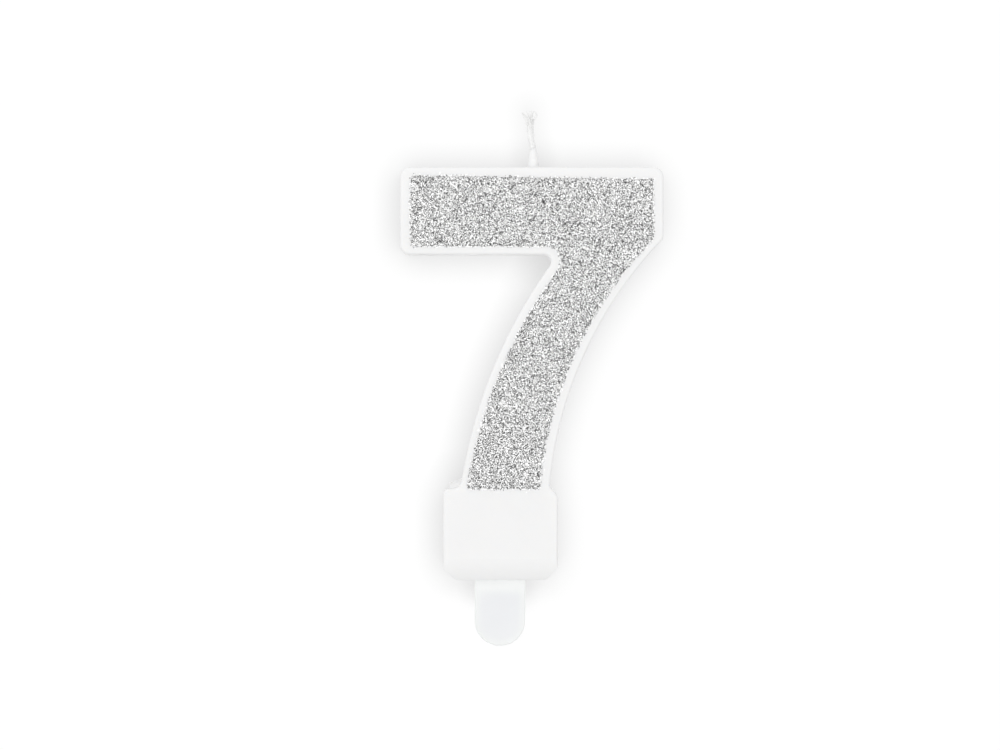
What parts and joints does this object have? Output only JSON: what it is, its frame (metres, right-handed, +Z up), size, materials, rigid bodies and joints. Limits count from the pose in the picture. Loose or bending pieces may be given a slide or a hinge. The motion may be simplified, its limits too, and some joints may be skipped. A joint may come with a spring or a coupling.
{
  "type": "number birthday candle",
  "caption": "Numeral seven cake candle: a wax digit with a glitter front on a square plinth, a cotton wick on top and a flat plastic pick below.",
  "frame": {"origin": "middle of the plinth's underside, the face that rests on the icing", "axes": "+Z up along the candle, +X to the right seen from the front, -Y out of the glitter front"},
  "size_m": [0.0447, 0.01, 0.0914],
  "materials": {
    "wax": "white paraffin wax, softly glossy",
    "glue": "white craft glue film, dried",
    "glitter": "fine silver glitter",
    "wick": "white cotton, waxed",
    "pick": "milky white plastic, slightly see-through"
  },
  "bodies": {
    "root": {"wax_body": "wax", "glitter_glue": "glue", "glitter_coat": "glitter", "wick_strand_1": "wick", "wick_strand_2": "wick", "wick_strand_3": "wick", "wick_seal": "wax", "pick": "pick"}
  },
  "joints": []
}
